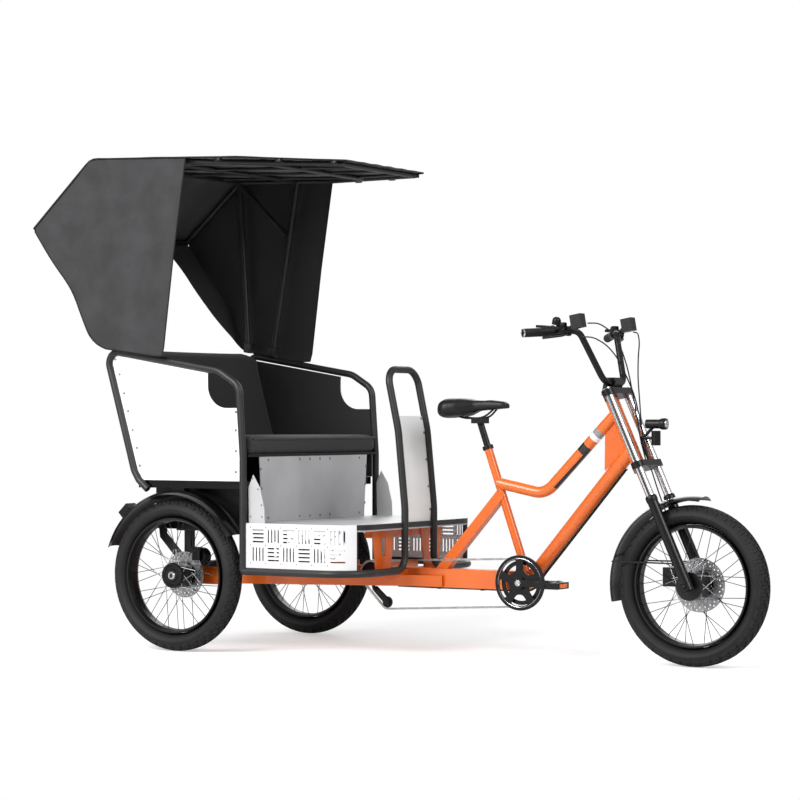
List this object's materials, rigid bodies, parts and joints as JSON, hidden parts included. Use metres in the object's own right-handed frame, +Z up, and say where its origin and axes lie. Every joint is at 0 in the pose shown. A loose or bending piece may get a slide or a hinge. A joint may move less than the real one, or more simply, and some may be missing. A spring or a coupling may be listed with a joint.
{
  "type": "cycle rickshaw",
  "caption": "Electric cycle rickshaw: a bicycle front with fat tyres and a dual-crown fork ahead of a two-seat cabin with a fabric canopy.",
  "frame": {"origin": "on the floor, under the middle of the whole vehicle", "axes": "+X forward to the front wheel, +Y to the rider's left, +Z up"},
  "size_m": [2.959, 1.056, 1.9379],
  "materials": {
    "orange_enamel": "gloss orange enamel on steel tube",
    "dark_coat": "satin dark grey powder coat on steel tube",
    "aluminium_sheet": "brushed sheet aluminium",
    "white_panel": "satin white coated sheet",
    "canopy_fabric": "mottled dark grey canvas",
    "seat_fabric": "dark woven seat cloth",
    "tyre_rubber": "black rubber",
    "black_metal": "satin black anodised and painted metal",
    "bright_metal": "polished steel",
    "black_plastic": "moulded black plastic",
    "lamp_plastic": "moulded lamp lens",
    "grip_rubber": "soft black rubber"
  },
  "bodies": {
    "chassis": {"back_panel": "black_plastic", "backrest": "seat_fabric", "bottom_bracket": "orange_enamel", "canopy_back": "canopy_fabric", "canopy_frame": "dark_coat", "canopy_roof": "canopy_fabric", "canopy_side_left": "canopy_fabric", "canopy_side_right": "canopy_fabric", "chain": "bright_metal", "chain_tensioner": "black_metal", "deck": "aluminium_sheet", "deck_brackets": "orange_enamel", "deck_rail": "dark_coat", "deck_skirts": "aluminium_sheet", "down_tube": "orange_enamel", "frame_cables": "black_plastic", "grab_loop": "dark_coat", "grab_panel": "white_panel", "head_tube": "orange_enamel", "main_beam": "orange_enamel", "rear_axle_beam": "orange_enamel", "rear_calipers": "black_metal", "rear_fenders": "black_plastic", "rear_stay": "orange_enamel", "saddle": "black_plastic", "seat_box": "black_metal", "seat_cushion": "seat_fabric", "seat_front_panel": "aluminium_sheet", "seat_pan": "black_metal", "seat_post": "black_metal", "seat_supports": "orange_enamel", "seat_tray": "black_metal", "seat_tube": "orange_enamel", "side_frame_left": "dark_coat", "side_frame_right": "dark_coat", "side_linings": "seat_fabric", "side_panel_left": "white_panel", "side_panel_right": "white_panel", "tail_lamps": "lamp_plastic", "top_tube": "orange_enamel", "under_frame": "orange_enamel", "wing_plates": "aluminium_sheet"},
    "steering": {"fork_crowns": "black_metal", "fork_legs": "black_metal", "handlebar": "black_metal", "stem": "black_metal", "grips": "grip_rubber", "front_fender": "black_plastic", "bar_controls": "black_plastic", "headlamp": "black_plastic", "steering_cables": "black_plastic"},
    "wheel_front": {"front_wheel": "black_metal", "front_tyre": "tyre_rubber"},
    "wheel_rear_left": {"rear_wheel_left": "black_metal", "rear_tyre_left": "tyre_rubber"},
    "wheel_rear_right": {"rear_wheel_right": "black_metal", "rear_tyre_right": "tyre_rubber"},
    "crank": {"crankset": "black_metal"},
    "pedal_l": {"pedal_left": "black_plastic"},
    "pedal_r": {"pedal_right": "black_plastic"}
  },
  "joints": [
    {"name": "steer", "type": "hinge", "parent": "chassis", "child": "steering", "pos_m": [0.96667, 0, 0.72183], "axis": [-0.4115, 0, 0.9114], "range_deg": [-45, 45]},
    {"name": "front_wheel_spin", "type": "hinge", "parent": "steering", "child": "wheel_front", "pos_m": [1.1845, 0, 0.295], "axis": [0, 1, 0], "continuous": true},
    {"name": "rear_left_spin", "type": "hinge", "parent": "chassis", "child": "wheel_rear_left", "pos_m": [-0.8005, 0.466, 0.295], "axis": [0, 1, 0], "continuous": true},
    {"name": "rear_right_spin", "type": "hinge", "parent": "chassis", "child": "wheel_rear_right", "pos_m": [-0.8005, -0.466, 0.295], "axis": [0, 1, 0], "continuous": true},
    {"name": "crank_spin", "type": "hinge", "parent": "chassis", "child": "crank", "pos_m": [0.5035, 0, 0.287], "axis": [0, 1, 0], "continuous": true},
    {"name": "pedal_left_spin", "type": "hinge", "parent": "crank", "child": "pedal_l", "pos_m": [0.3335, 0.141, 0.287], "axis": [0, 1, 0], "continuous": true},
    {"name": "pedal_right_spin", "type": "hinge", "parent": "crank", "child": "pedal_r", "pos_m": [0.6735, -0.141, 0.287], "axis": [0, 1, 0], "continuous": true}
  ]
}
